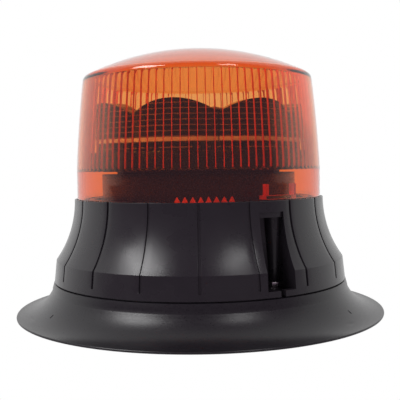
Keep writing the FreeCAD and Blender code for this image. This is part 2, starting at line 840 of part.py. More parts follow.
def inductor():
    core = Part.makeCylinder(inductor_radius, inductor_height)
    core = core.cut(Part.makeCylinder(inductor_hole, inductor_height))
    return under_driver(core, inductor_x, inductor_y, inductor_height)


def controller_chip():
    return under_driver(Part.makeBox(chip_side, chip_side, chip_height), chip_x, 0, chip_height)


def terminal_block():
    """Screw terminals for the supply lead, with the wire holes facing the gland."""
    body = Part.makeBox(terminal_width, terminal_depth, terminal_height, Vector(-terminal_width / 2, 0, 0))
    holes = [Part.makeCylinder(wire_hole, terminal_depth, Vector(x, terminal_depth / 2, terminal_height / 2),
                               Vector(0, 1, 0))
             for x in (-terminal_spacing, 0, terminal_spacing)]
    return under_driver(body.cut(holes), 0, terminal_y, terminal_height)


def led_harness():
    return disc(harness_radius, driver_top_z + slip, core_top_z - slip)


def wire_grommet():
    bore = harness_radius + harness_play
    waist = grommet_hole - slip
    lip = grommet_hole + grommet_lip
    low = deck_z - slip
    high = channel_z + slip
    return revolve((bore, low - grommet_lip_thickness), (lip, low - grommet_lip_thickness), (lip, low),
                   (waist, low), (waist, high), (lip, high), (lip, high + grommet_lip_thickness),
                   (bore, high + grommet_lip_thickness))


def cable_gland():
    """Rubber bush in the back wall. Its bore takes the supply lead."""
    outside = foot_radius - gland_play
    inside = flare_at(crease_z, housing_wall) - gland_grip
    lip = gland_flange_thickness
    body = revolve((gland_bore, inside - lip), (gland_flange, inside - lip), (gland_flange, inside),
                   (gland_neck, inside), (gland_neck, outside), (gland_flange, outside),
                   (gland_flange, outside + lip), (gland_neck, outside + lip + gland_nose),
                   (gland_bore, outside + lip + gland_nose))
    body.rotate(Vector(0, 0, 0), Vector(1, 0, 0), -90)
    body.translate(Vector(0, 0, gland_z))
    return body


def save(name, shape):
    if isinstance(shape, list):
        shape = Part.makeCompound(shape)
    shape.exportStep("parts/" + name + ".step")


os.makedirs("parts", exist_ok=True)
save("lens", lens())
save("lens_gasket", lens_gasket())
save("housing", housing())
save("lens_lock_screw", lens_lock_screw())
save("base_plate", base_plate())
save("base_gasket", base_gasket())
save("base_screws", base_screws())
save("mount_plate", mount_plate())
save("mount_screws", mount_screws())
save("vacuum_skirt", vacuum_skirt())
save("magnet_cup", magnet_cup())
save("ring_magnet", ring_magnet())
save("magnet_pad", magnet_pad())
save("magnet_screw", magnet_bolt())
save("pedestal", pedestal())
save("pedestal_screws", pedestal_screws())
save("carrier_disc", carrier_disc())
save("carrier_screws", carrier_screws())
save("led_core", led_core())
for number, bearing in enumerate(side_bearings, 1):
    save("led_board_" + str(number), led_board(bearing))
save("leds", leds())
save("optic_ring", optic_ring())
save("optic_screws", optic_screws())
save("junction_board", junction_board())
save("driver_board", driver_board())
save("driver_screws", driver_screws())
save("capacitors", capacitors())
save("inductor", inductor())
save("controller_chip", controller_chip())
save("terminal_block", terminal_block())
save("led_harness", led_harness())
save("wire_grommet", wire_grommet())
save("cable_gland", cable_gland())
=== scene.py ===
"""Warning beacon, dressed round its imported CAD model: amber twist-lock lens, ring of optics, black flared housing
and rubber vacuum skirt. Metres in the scene, millimetres in the sizes below, Z up, the front facing -Y.
A bearing is an angle about Z in degrees, 0 at the front and growing towards +X.
"""

import math

import bmesh
import bpy
from mathutils import Matrix, Vector


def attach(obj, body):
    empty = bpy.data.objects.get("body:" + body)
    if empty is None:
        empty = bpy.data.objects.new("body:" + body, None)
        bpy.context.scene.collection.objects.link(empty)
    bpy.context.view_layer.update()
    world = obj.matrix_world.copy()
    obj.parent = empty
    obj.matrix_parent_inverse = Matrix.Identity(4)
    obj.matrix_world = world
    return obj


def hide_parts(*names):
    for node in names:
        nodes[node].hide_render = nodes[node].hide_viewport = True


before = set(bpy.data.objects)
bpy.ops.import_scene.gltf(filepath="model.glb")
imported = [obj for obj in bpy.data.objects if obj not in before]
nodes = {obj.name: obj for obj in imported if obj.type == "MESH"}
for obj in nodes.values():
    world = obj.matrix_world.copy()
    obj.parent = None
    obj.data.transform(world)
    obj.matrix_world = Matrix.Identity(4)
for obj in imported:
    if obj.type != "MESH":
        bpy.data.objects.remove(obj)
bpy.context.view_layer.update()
mm = 0.001


# Camera: a short tele lens close in front, level with the lens's lower band. It is tipped a little down, and a
# little to the side.

camera_place = (0.00066, -0.3818, 0.0779)
tipped_down = 2.67
tipped_sideways = 0.83

camera = bpy.data.objects.new("camera", bpy.data.cameras.new("camera"))
camera.data.sensor_width = 36
camera.data.lens = 61.52
camera.data.clip_start = 0.01
tip = Matrix.Rotation(math.radians(90 - tipped_down), 4, "X")
roll = Matrix.Rotation(math.radians(-tipped_sideways), 4, "Z")
camera.matrix_world = Matrix.Translation(camera_place) @ tip @ roll
bpy.context.scene.collection.objects.link(camera)
bpy.context.scene.camera = camera
bpy.context.scene.view_settings.view_transform = "Standard"


# Studio: a matt pale floor and two soft boxes in front. Clear parts and gloss see a sweep that is white behind the
# object and dim in front of it. On matt parts the room is evenly dim.

def linear(hex_colour):
    """Linear RGBA of an sRGB colour written as six hex digits."""
    parts = [int(hex_colour[k:k + 2], 16) / 255 for k in (0, 2, 4)]
    return tuple(c / 12.92 if c <= 0.04045 else ((c + 0.055) / 1.055) ** 2.4 for c in parts) + (1.0,)


def add_node(tree, kind, inputs=(), **settings):
    """Adds a node with its settings. Each input is a plain value, or another node's output to link."""
    node = tree.nodes.new(kind)
    for name, value in settings.items():
        setattr(node, name, value)
    for name, value in dict(inputs).items():
        if isinstance(value, bpy.types.NodeSocket):
            tree.links.new(value, node.inputs[name])
        else:
            node.inputs[name].default_value = value
    return node


def new_material(name, **inputs):
    """Material with a Principled shader. Its inputs are named with _ for a space."""
    material = bpy.data.materials.new(name)
    material.use_nodes = True
    shader = material.node_tree.nodes["Principled BSDF"]
    for key, value in inputs.items():
        shader.inputs[key.replace("_", " ")].default_value = value
    return material, material.node_tree, shader


def sent_by(tree, *kinds):
    """1 for rays of any of these kinds, 0 for the rest."""
    path = add_node(tree, "ShaderNodeLightPath")
    found = path.outputs[kinds[0]]
    for kind in kinds[1:]:
        found = add_node(tree, "ShaderNodeMath", {0: found, 1: path.outputs[kind]}, operation="MAXIMUM").outputs[0]
    return found


room_grey = (0.45, 0.45, 0.45, 1)
front_tint = (0.27, 0.2, 0.27, 1)
white = (1, 1, 1, 1)
sweep_end = 0.1


def swept(tree, place, start):
    """Colour of the sweep for a direction or a place: dim before a start along Y, white beyond its end."""
    along = add_node(tree, "ShaderNodeSeparateXYZ", {0: place})
    depth = add_node(tree, "ShaderNodeMapRange", {"Value": along.outputs["Y"], "From Min": start,
                                                  "From Max": sweep_end})
    return add_node(tree, "ShaderNodeMix", {0: depth.outputs["Result"], 6: front_tint, 7: white},
                    data_type="RGBA").outputs[2]


world = bpy.data.worlds.new("studio")
bpy.context.scene.world = world
world.use_nodes = True
tree = world.node_tree
toward = add_node(tree, "ShaderNodeTexCoord").outputs["Generated"]
mirrored = add_node(tree, "ShaderNodeMix", {0: sent_by(tree, "Is Glossy Ray", "Is Transmission Ray"),
                                            6: room_grey, 7: swept(tree, toward, -0.35)}, data_type="RGBA")
level = add_node(tree, "ShaderNodeMix", {0: sent_by(tree, "Is Camera Ray"), 6: mirrored.outputs[2], 7: white},
                 data_type="RGBA")
tree.links.new(level.outputs[2], tree.nodes["Background"].inputs["Color"])

bm = bmesh.new()
bmesh.ops.create_grid(bm, x_segments=1, y_segments=1, size=3)
floor_mesh = bpy.data.meshes.new("floor")
bm.to_mesh(floor_mesh)
bm.free()
floor = bpy.data.objects.new("floor", floor_mesh)
bpy.context.scene.collection.objects.link(floor)
paper, tree, shader = new_material("matt studio paper", Roughness=0.9, Specular_IOR_Level=0.1)
shader.inputs["Base Color"].default_value = linear("F4F4F4")
place = add_node(tree, "ShaderNodeTexCoord").outputs["Object"]
level = add_node(tree, "ShaderNodeMix", {0: sent_by(tree, "Is Camera Ray"), 6: swept(tree, place, -0.3), 7: white},
                 data_type="RGBA")
glow = add_node(tree, "ShaderNodeEmission", {"Color": level.outputs[2], "Strength": 1.0})
shown = sent_by(tree, "Is Camera Ray", "Is Glossy Ray", "Is Transmission Ray")
seen = add_node(tree, "ShaderNodeMixShader", {0: shown, 1: shader.outputs[0], 2: glow.outputs[0]})
tree.links.new(seen.outputs[0], tree.nodes["Material Output"].inputs["Surface"])
floor_mesh.materials.append(paper)


def soft_box(name, bearing, elevation, distance, width, height, power):
    """Rectangular lamp on a bearing, raised by an elevation in degrees, that faces the object."""
    lamp = bpy.data.lights.new(name, "AREA")
    lamp.shape = "RECTANGLE"
    lamp.size = width
    lamp.size_y = height
    lamp.energy = power
    box = bpy.data.objects.new(name, lamp)
    aim = Vector((0, 0, 50 * mm))
    out = Vector((0, -math.cos(math.radians(elevation)), math.sin(math.radians(elevation))))
    box.location = aim + distance * (Matrix.Rotation(math.radians(bearing), 3, "Z") @ out)
    box.rotation_euler = (aim - box.location).to_track_quat("-Z", "Y").to_euler()
    bpy.context.scene.collection.objects.link(box)


soft_box("left box", -55, 41, 1.2, 0.5, 0.5, 8.5)
soft_box("right box", 34, 43, 1.2, 0.3, 0.4, 2.4)


# Magnet and steel plate, at the very bottom. The plate and the magnet's cup are pressed and turned from mild
# steel and zinc plated. The magnet is sintered ferrite, and a thin rubber pad under it saves the roof's paint.

same_point = 0.002 * mm


def finish(name, low, high, grain_mm, rough, bump_mm=0.0, **inputs):
    """Material whose colour and gloss wander between two values over its grain, with a bump as deep as bump_mm."""
    material, tree, shader = new_material(name, **inputs)
    place = add_node(tree, "ShaderNodeTexCoord").outputs["Object"]
    grain = add_node(tree, "ShaderNodeTexNoise", {"Vector": place, "Scale": 1000 / grain_mm, "Detail": 3.0})
    spread = add_node(tree, "ShaderNodeMapRange", {"Value": grain.outputs[0], "From Min": 0.35, "From Max": 0.65})
    tint = add_node(tree, "ShaderNodeMix", {0: spread.outputs[0], 6: linear(low), 7: linear(high)},
                    data_type="RGBA")
    tree.links.new(tint.outputs[2], shader.inputs["Base Color"])
    sheen = add_node(tree, "ShaderNodeMapRange", {"Value": grain.outputs[0], "From Min": 0.3, "From Max": 0.7,
                                                  "To Min": rough[0], "To Max": rough[1]})
    tree.links.new(sheen.outputs[0], shader.inputs["Roughness"])
    if bump_mm:
        bump = add_node(tree, "ShaderNodeBump", {"Height": grain.outputs[0], "Distance": bump_mm * mm})
        tree.links.new(bump.outputs[0], shader.inputs["Normal"])
    return material


def make_piece(name, bm, material, body, sharp=35):
    """Makes a bmesh a piece of the object, riding on a body in place of the CAD node of the same name."""
    bmesh.ops.remove_doubles(bm, verts=bm.verts, dist=same_point)
    bmesh.ops.dissolve_degenerate(bm, edges=bm.edges, dist=same_point / 2)
    bmesh.ops.recalc_face_normals(bm, faces=bm.faces)
    mesh = bpy.data.meshes.new(name)
    bm.to_mesh(mesh)
    bm.free()
    mesh.materials.append(material)
    for face in mesh.polygons:
        face.use_smooth = True
    mesh.set_sharp_from_angle(angle=math.radians(sharp))
    piece = bpy.data.objects.new(name, mesh)
    bpy.context.scene.collection.objects.link(piece)
    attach(piece, body)
    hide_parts(name)
    return piece


def merged_copy(name):
    """A CAD node's mesh with its loose triangles joined up."""
    bm = bmesh.new()
    bm.from_mesh(nodes[name].data)
    bmesh.ops.remove_doubles(bm, verts=bm.verts, dist=same_point)
    bmesh.ops.dissolve_limit(bm, verts=bm.verts, edges=bm.edges, angle_limit=math.radians(0.3))
    return bm


def softened(name, material, rounding_mm, body="base", bm=None):
    """Piece with its CAD node's form, whose sharp edges are rounded as the tool or the mould leaves them."""
    bm = bm or merged_copy(name)
    edges = [e for e in bm.edges if len(e.link_faces) == 2 and e.calc_face_angle() > math.radians(35)]
    bmesh.ops.bevel(bm, geom=edges, offset=rounding_mm * mm, offset_type="OFFSET", affect="EDGES", segments=2,
                    profile=0.5, material=-1, clamp_overlap=True)
    return make_piece(name, bm, material, body)


# zinc plating: dull silver with a faint cloudy mottle
zinc_steel = finish("zinc-plated mild steel", "A9ABAE", "C2C4C6", 3.0, (0.3, 0.45), Metallic=1.0)
# sintered and ground: dark grey, matt, with fine pits
ferrite = finish("sintered ferrite", "2A2A2C", "3A3A3D", 0.8, (0.5, 0.65), 0.02, Metallic=0.4)
# moulded sealing rubber: dead black and matt
seal_rubber = finish("moulded EPDM rubber", "131314", "1C1C1E", 0.5, (0.6, 0.75), 0.01)

softened("mount_plate", zinc_steel, 0.3)
softened("magnet_cup", zinc_steel, 0.4)
softened("ring_magnet", ferrite, 0.3)
softened("magnet_pad", seal_rubber, 0.2)


# Screws: stainless, cold headed and rolled. The three that clamp plate, rubber and housing together show from
# below, and have their hexagon sockets.

mount_ring = 65.25
mount_seat = 13.0
mount_head_height = 2.4
socket_across = 2.5
socket_depth = 1.4


def combined(bm, tool, operation):
    """Joins a closed bmesh with a tool, or cuts it with one. Both are used up."""
    things = []
    for part in (bm, tool):
        bmesh.ops.recalc_face_normals(part, faces=part.faces)
        mesh = bpy.data.meshes.new("blank")
        part.to_mesh(mesh)
        part.free()
        things.append(bpy.data.objects.new("blank", mesh))
        bpy.context.scene.collection.objects.link(things[-1])
    boolean = things[0].modifiers.new("boolean", "BOOLEAN")
    boolean.operation = operation
    boolean.solver = "EXACT"
    boolean.object = things[1]
    bpy.context.view_layer.update()
    ready = things[0].evaluated_get(bpy.context.evaluated_depsgraph_get())
    result = bmesh.new()
    result.from_mesh(ready.to_mesh())
    ready.to_mesh_clear()
    for thing in things:
        mesh = thing.data
        bpy.data.objects.remove(thing)
        bpy.data.meshes.remove(mesh)
    return result


def standing(bearing, ring, low, high, low_radius, high_radius, segments):
    """Closed cone, rod or prism that stands on a bearing, at a distance from the axis."""
    rod = bmesh.new()
    bmesh.ops.create_cone(rod, cap_ends=True, segments=segments, radius1=low_radius * mm,
                          radius2=high_radius * mm, depth=(high - low) * mm)
    rod.transform(Matrix.Rotation(math.radians(bearing), 4, "Z")
                  @ Matrix.Translation((0, -ring * mm, (low + high) / 2 * mm)))
    return rod


# bright-rolled stainless: clean silver with faint turning marks
stainless = finish("stainless steel", "B4B3B0", "C9C8C5", 0.6, (0.2, 0.32), Metallic=1.0)

for name in ("magnet_screw", "base_screws", "pedestal_screws", "carrier_screws", "optic_screws", "driver_screws"):
    softened(name, stainless, 0.25)

bm = merged_copy("mount_screws")
head_low = mount_seat - mount_head_height
for bearing in (0, 120, 240):
    corner = socket_across / 2 / math.cos(math.radians(30))
    socket = standing(bearing, mount_ring, head_low - 1, head_low + socket_depth, corner, corner, 6)
    bm = combined(bm, socket, "DIFFERENCE")
softened("mount_screws", stainless, 0.25, bm=bm)


# Rubber skirt: one moulding, thin at the rim and thick where it grips the steel plate. Its concave bell starts at a
# ledge below the collar. It has a narrow slit on each side and a shallow dimple near the rim, where a finger can
# break the seal.

skirt_radius = 99.98
collar_radius = 80.2
collar_top = 17.6
slit_bearings = (-57.6, 58.2)
slit_near = 86.2
slit_far = 89.8
slit_angle = 0.55
ledge_radius = 81.35
ledge_z = 12.7
plate_grip = 76.3
dimples = ((-67.5, 93.5, 5.0, 1.5, 0.3), (51.0, 92.4, 3.0, 1.2, 0.15))


def chain(bm, points, closed=False):
    """Edges through (radius, height) points, in the plane that faces the front."""
    verts = [bm.verts.new((0, -r * mm, z * mm)) for r, z in points]
    pairs = list(zip(verts, verts[1:])) + ([(verts[-1], verts[0])] if closed else [])
    return verts + [bm.edges.new(pair) for pair in pairs]


def turn(bm, geom, count, degrees=360.0, merge=True, copies=False):
    """Spins a chain round the Z axis in equal steps. Returns its last place."""
    spun = bmesh.ops.spin(bm, geom=geom, cent=(0, 0, 0), axis=(0, 0, 1), angle=math.radians(degrees),
                          steps=count, use_merge=merge, use_duplicate=copies)
    return spun["geom_last"]


def place_of(vert):
    """Radius in mm, bearing in degrees and height in mm."""
    return vert.co.xy.length / mm, math.degrees(math.atan2(vert.co.x, -vert.co.y)), vert.co.z / mm


def add_part(bm, part):
    """Moves everything in a bmesh over to another."""
    mesh = bpy.data.meshes.new("part")
    part.to_mesh(mesh)
    part.free()
    bm.from_mesh(mesh)
    bpy.data.meshes.remove(mesh)


def wedge(bm, inner, outer, low, high, bearing, angle, count=4):
    """Adds a closed block that is part of a ring, with its middle on a bearing."""
    part = bmesh.new()
    ring = chain(part, [(inner, low), (outer, low), (outer, high), (inner, high)], closed=True)
    turn(part, ring, count, angle, merge=False)
    bmesh.ops.holes_fill(part, edges=part.edges)
    bmesh.ops.recalc_face_normals(part, faces=part.faces)
    part.transform(Matrix.Rotation(math.radians(bearing - angle / 2), 4, "Z"))
    add_part(bm, part)


def bow(start, end, sag, count):
    """Points along an arc between two (radius, height) points. It sags towards the axis and down."""
    start, end = Vector(start), Vector(end)
    along = (end - start).normalized()
    side = Vector((along.y, -along.x))
    reach = (end - start).length / 2
    radius = (reach ** 2 + sag ** 2) / (2 * sag)
    half = math.asin(reach / radius)
    turns = [half * (2 * k / count - 1) for k in range(count + 1)]
    return [tuple((start + end) / 2 + side * (sag - radius + radius * math.cos(a)) + along * radius * math.sin(a))
            for a in turns]


bm = bmesh.new()
profile = [(67.85, collar_top), (collar_radius - 0.45, collar_top), (collar_radius - 0.1, collar_top - 0.15)]
profile += [(collar_radius, collar_top - 0.5), (80.9, 14.6), (81.1, 13.1)]
profile += bow((ledge_radius, ledge_z), (skirt_radius - 0.25, 1.15), 3.1, 30)
profile += [(skirt_radius - 0.06, 0.9), (skirt_radius, 0.6), (skirt_radius - 0.1, 0.25), (skirt_radius - 0.4, 0.05),
            (skirt_radius - 0.8, 0)]
profile += bow((plate_grip, 10.4), (96.5, 0), 1.2, 12)[::-1]
profile += [(71.0, 10.4), (71.0, 12.7), (plate_grip, 12.7), (plate_grip, 15.3), (67.85, 15.3)]
turn(bm, chain(bm, profile, closed=True), 360)
for vert in bm.verts:
    radius, bearing, z = place_of(vert)
    for middle, distance, half_angle, half_width, depth in dimples:
        away = math.hypot((bearing - middle) / half_angle, (radius - distance) / half_width)
        if away < 1 and z > 2.3:
            vert.co.z -= depth * mm * (1 - away ** 2) ** 2
slits = bmesh.new()
for bearing in slit_bearings:
    wedge(slits, slit_near, slit_far, 4.8, 15, bearing, slit_angle, 1)
bm = combined(bm, slits, "DIFFERENCE")

# moulded EPDM: nearly black, a satin sheen, and a fine even texture
skirt_rubber = finish("black skirt rubber", "120F14", "1A171C", 0.7, (0.27, 0.36), 0.02, Specular_IOR_Level=0.36)
make_piece("vacuum_skirt", bm, skirt_rubber, "base", sharp=30)


# Base plate: a black ABS moulding that closes the housing from below. Screws hold it, and a rubber ring lies
# between the two against rain.

# moulded ABS with a spark-eroded grain: satin, a warm black
plain_abs = finish("black ABS, plain", "121013", "1A171B", 0.5, (0.4, 0.5), 0.01, Specular_IOR_Level=0.3)
softened("base_plate", plain_abs, 0.3)
softened("base_gasket", seal_rubber, 0.2)


# Driver: a green board on three posts under the housing's deck, with its parts soldered on from below. A sleeved
# harness goes up through the deck to the light engine.

# solder mask over copper: green with the faint relief of the tracks
green_mask = finish("green solder mask", "0C3A1E", "14532B", 2.0, (0.25, 0.35), 0.02)
# shrunk sleeve over an aluminium can: dark blue and glossy
can_sleeve = finish("capacitor sleeve", "1F2438", "2A3048", 1.5, (0.2, 0.3))
# enamelled copper wire over a ferrite ring: warm brown, ridged turn by turn
copper_turns = finish("enamelled copper winding", "7A3A14", "A85A22", 0.7, (0.25, 0.4), 0.15, Metallic=0.6)
# moulded epoxy package: dark grey and matt
epoxy = finish("moulded epoxy", "1A1A1B", "242426", 0.3, (0.5, 0.6), 0.01)
# moulded polyamide: green, slightly waxy
terminal_nylon = finish("green polyamide", "0F4A22", "16602E", 1.0, (0.35, 0.45), 0.01)
# braided sleeve: black threads
braid = finish("braided polyester sleeve", "0E0E10", "2A2A2E", 0.4, (0.5, 0.7), 0.1)

softened("driver_board", green_mask, 0.15)
softened("capacitors", can_sleeve, 0.6)
softened("inductor", copper_turns, 1.2)
softened("controller_chip", epoxy, 0.2)
softened("terminal_block", terminal_nylon, 0.3)
softened("led_harness", braid, 0.2)


# Housing: one flared moulding of black ABS. Eighteen narrow grooves run down the flare from the rim, and a pocket
# at the right of the front holds the tapered column for the lens's lock screw. The lens stands in the channel at
# the top, under three lugs, and the cable's gland sits in a bore at the back.

neck_radius = 68.2
neck_z = 62.0
flare_radius = 56.0
crease_z = 29.6
foot_radius = 79.8
foot_z = 17.9
wall = 2.8
groove_count = 18
groove_low = 21.5
groove_side = ((0.85, 0.0), (0.71, 0.05), (0.65, 0.18), (0.62, 0.7))
pocket_bearing = 19.0
pocket_offset = 13.5
pocket_half = 7.9
pocket_taper = 1.8
pocket_back = 57.2
pocket_top = 54.0
recess_top = 56.6
pocket_mouth = 81.0
sill_z = 21.0
cavity_radius = 76.4
drain_bearing = 29.0
gland_z = 25.0
gland_radius = 3.7
lug_bearings = (-23.0, 97.0, 217.0)
lock_bearing = 37.4
lock_radius = 60.0


def steps(first, last, count):
    """Evenly spaced values from first to last, both among them."""
    return [first + (last - first) * k / count for k in range(count + 1)]


def flare_at(z, inset=0.0):
    """Radius of the concave flare at a height, or of a face set in from it."""
    return neck_radius + flare_radius - math.sqrt((flare_radius + inset) ** 2 - (neck_z - z) ** 2)


def side_at(z):
    """Radius of the housing's outside at a height: the flare, and the steep band below its crease."""
    if z >= crease_z:
        return flare_at(z)
    return flare_at(crease_z) + (foot_radius - flare_at(crease_z)) * (crease_z - z) / (crease_z - foot_z)


def pocket_block(grow, low, high):
    """The pocket's room, wider at its mouth than at its back."""
    half = pocket_half + grow
    back = pocket_back - grow
    corners = [(half - pocket_taper, back), (half, pocket_mouth), (-half, pocket_mouth), (pocket_taper - half, back)]
    block = bmesh.new()
    face = block.faces.new([block.verts.new(((pocket_offset + x) * mm, -y * mm, low * mm)) for x, y in corners])
    raised = bmesh.ops.extrude_face_region(block, geom=[face])["geom"]
    bmesh.ops.translate(block, verts=[v for v in raised if isinstance(v, bmesh.types.BMVert)],
                        vec=(0, 0, (high - low) * mm))
    block.transform(Matrix.Rotation(math.radians(pocket_bearing), 4, "Z"))
    return block


rows = steps(neck_z - 0.2, crease_z, 30) + [25.0, groove_low + 0.04, groove_low, 19.5, foot_z + 0.4]
outline = [(neck_radius - 0.15, neck_z)] + [(side_at(z), z) for z in rows] + [(foot_radius - 0.3, foot_z)]
hollow = [(cavity_radius, foot_z), (cavity_radius, 19.3), (75.1, 19.3), (75.1, crease_z)]
hollow += [(flare_at(z, wall), z) for z in steps(crease_z, 53.7, 8)[1:]]
hollow += [(54.5, 53.7), (54.5, 20.9), (51.7, 20.9), (51.7, 53.7), (7.0, 53.7), (7.0, 56.5), (57.6, 56.5),
           (57.6, 61.8), (57.8, neck_z), (60.2, neck_z), (60.4, 61.8), (60.4, 56.5), (67.1, 56.5), (67.1, 61.9),
           (67.2, neck_z)]

housing = bmesh.new()
column = chain(housing, outline + hollow, closed=True)
sides = [-offset for offset, depth in groove_side] + [offset for offset, depth in groove_side[::-1]]
pitch = 360 / groove_count
for near, far in zip(sides, sides[1:]):
    column = turn(housing, column, 1, far - near, merge=False)
turn(housing, column, 9, pitch - 2 * sides[-1], merge=False)
housing.transform(Matrix.Rotation(math.radians(sides[0]), 4, "Z"))
depths = dict(groove_side)
for vert in housing.verts:
    radius, bearing, z = place_of(vert)
    offset = min(depths, key=lambda side: abs(side - abs(bearing)))
    if abs(abs(bearing) - offset) < 0.01 and offset < sides[-1] and radius > side_at(z) - 0.3:
        radius -= depths[offset] if z > groove_low + 0.02 else 0
        vert.co.x = math.copysign(offset, bearing) * mm
        vert.co.y = -math.sqrt(radius ** 2 - offset ** 2) * mm
turn(housing, housing.verts[:] + housing.edges[:] + housing.faces[:], groove_count, copies=True, merge=False)
bmesh.ops.remove_doubles(housing, verts=housing.verts, dist=same_point)

skin = bmesh.new()
turn(skin, chain(skin, [(0, neck_z)] + [(r - 0.05, z) for r, z in outline] + [(0, foot_z)]), 144)
liner = combined(pocket_block(2.2, 19.6, pocket_top + 1), skin, "INTERSECT")
housing = combined(housing, liner, "UNION")
ceiling = standing(0, 0, pocket_top, neck_z, 67.5, 67.5, 144)
room = combined(pocket_block(0, foot_z - 1, recess_top), ceiling, "DIFFERENCE")
sill = bmesh.new()
past_mouth = pocket_mouth + 9
sill_section = [(cavity_radius, foot_z - 2), (past_mouth, foot_z - 2), (past_mouth, sill_z), (cavity_radius, sill_z)]
turn(sill, chain(sill, sill_section, closed=True), 144)
room = combined(room, sill, "DIFFERENCE")
housing = combined(housing, room, "DIFFERENCE")
drain = bmesh.new()
wedge(drain, 65.25, pocket_mouth, foot_z - 1, sill_z + 1, drain_bearing, 1.95, 1)
housing = combined(housing, drain, "DIFFERENCE")
gland_bore = standing(0, 0, 65.25, pocket_mouth, gland_radius, gland_radius, 32)
gland_bore.transform(Matrix.Translation((0, 0, gland_z * mm)) @ Matrix.Rotation(math.radians(-90), 4, "X"))
housing = combined(housing, gland_bore, "DIFFERENCE")
column = standing(lock_bearing, lock_radius, 22.1, pocket_top + 0.5, 2.7, 5.14, 48)
housing = combined(housing, column, "UNION")
boss = standing(lock_bearing, lock_radius, pocket_top + 0.3, neck_z - 0.05, 2.5, 2.5, 32)
housing = combined(housing, boss, "UNION")
bmesh.ops.holes_fill(housing, edges=housing.edges, sides=4)
for bearing in lug_bearings:
    wedge(housing, 60.0, 62.5, 60.3, 61.95, bearing, 24.0, 8)
wedge(housing, 60.0, 62.6, 60.3, 61.95, 17.5, 1.4, 2)

# moulded ABS with a fine spark-eroded grain: satin and nearly black, polished in patches by handling
housing_abs, tree, shader = new_material("black ABS, fine grain", Specular_IOR_Level=0.38)
place = add_node(tree, "ShaderNodeTexCoord").outputs["Object"]
grain = add_node(tree, "ShaderNodeTexNoise", {"Vector": place, "Scale": 1000 / 0.6, "Detail": 2.0})
wear = add_node(tree, "ShaderNodeTexNoise", {"Vector": place, "Scale": 1000 / 14.0, "Detail": 4.0})
tint = add_node(tree, "ShaderNodeMix", {0: wear.outputs[0], 6: linear("18151A"), 7: linear("211D22")},
                data_type="RGBA")
tree.links.new(tint.outputs[2], shader.inputs["Base Color"])
sheen = add_node(tree, "ShaderNodeMapRange", {"Value": wear.outputs[0], "From Min": 0.3, "From Max": 0.7,
                                              "To Min": 0.24, "To Max": 0.32})
tree.links.new(sheen.outputs[0], shader.inputs["Roughness"])
bump = add_node(tree, "ShaderNodeBump", {"Height": grain.outputs[0], "Strength": 0.5, "Distance": 0.02 * mm})
tree.links.new(bump.outputs[0], shader.inputs["Normal"])
make_piece("housing", housing, housing_abs, "base", sharp=25)

softened("cable_gland", seal_rubber, 0.3)
softened("wire_grommet", seal_rubber, 0.2)


# Pedestal and carrier disc: black polycarbonate mouldings that stand on the deck and hold the light engine up.
# Screws from below hold each of them.

# moulded polycarbonate: black and a little glossier than the housing
black_pc = finish("black polycarbonate", "07060A", "0C0A10", 1.0, (0.22, 0.3), 0.01, Specular_IOR_Level=0.4)
softened("pedestal", black_pc, 0.4)
softened("carrier_disc", black_pc, 0.4)


# Light engine: an aluminium core that carries a black board on each side, three yellow LEDs on each board. Along
# their lower edge the boards are painted pale, a painted bright strip for the light that shows through under the
# optics.

# extruded and anodised: pale, with fine lines along its height
aluminium = finish("anodised aluminium", "B9BBBE", "CFD1D4", 0.8, (0.35, 0.5), Metallic=1.0)
# phosphor under clear silicone: warm yellow, glossy
phosphor = finish("LED phosphor", "D9A437", "F0C257", 0.5, (0.1, 0.2))
# black solder mask, glossy; below a height it turns pale, a painted bright strip for light showing through under the
# optics
painted_strip_top = 92.9
board_mask, tree, shader = new_material("black solder mask", Specular_IOR_Level=0.4)
place = add_node(tree, "ShaderNodeTexCoord").outputs["Object"]
height = add_node(tree, "ShaderNodeSeparateXYZ", {0: place})
masked = add_node(tree, "ShaderNodeMath", {0: height.outputs["Z"], 1: painted_strip_top * mm}, operation="GREATER_THAN")
relief = add_node(tree, "ShaderNodeTexNoise", {"Vector": place, "Scale": 1000 / 1.5, "Detail": 2.0})
mask_tint = add_node(tree, "ShaderNodeMix", {0: relief.outputs[0], 6: linear("0B0A0C"), 7: linear("151216")},
                     data_type="RGBA")
# painted light: pale below the strip's top, dark solder mask above
tint = add_node(tree, "ShaderNodeMix", {0: masked.outputs[0], 6: linear("D8D8D6"), 7: mask_tint.outputs[2]},
                data_type="RGBA")
tree.links.new(tint.outputs[2], shader.inputs["Base Color"])
sheen = add_node(tree, "ShaderNodeMapRange", {"Value": relief.outputs[0], "To Min": 0.25, "To Max": 0.4})
tree.links.new(sheen.outputs[0], shader.inputs["Roughness"])

softened("led_core", aluminium, 0.3)
for k in range(6):
    softened("led_board_%d" % (k + 1), board_mask, 0.1)
softened("leds", phosphor, 0.5)
softened("junction_board", board_mask, 0.1)


# Optic ring: smoked acrylic, moulded as eight bowed optics side by side, each with an arched top and prisms in
# rows across its face. It stands on short feet with a block behind the middle of each optic, and three tabs on
# its inside hold it down on the core.

optic_count = 8
optic_bearing = -12.0
engine_z = 86.3
optic_low = 90.6
flange_top = 92.8
optic_peak = 111.4
optic_drop = 7.0
optic_bore = 47.5
peak_radius = 58.5
valley_drop = 3.5
prism = 2.65
prism_depth = 0.45
foot_pitch = 5.0
open_middle = 9.0

rows = [optic_low]
while rows[-1] < optic_peak - 0.1:
    rows += [rows[-1] + share * prism for share in (0.12, 0.5, 0.88, 1.0)]
swell = (-prism_depth, -0.1, 0.0, -0.1)
front = [(peak_radius + swell[k % 4], z) for k, z in enumerate(rows)]

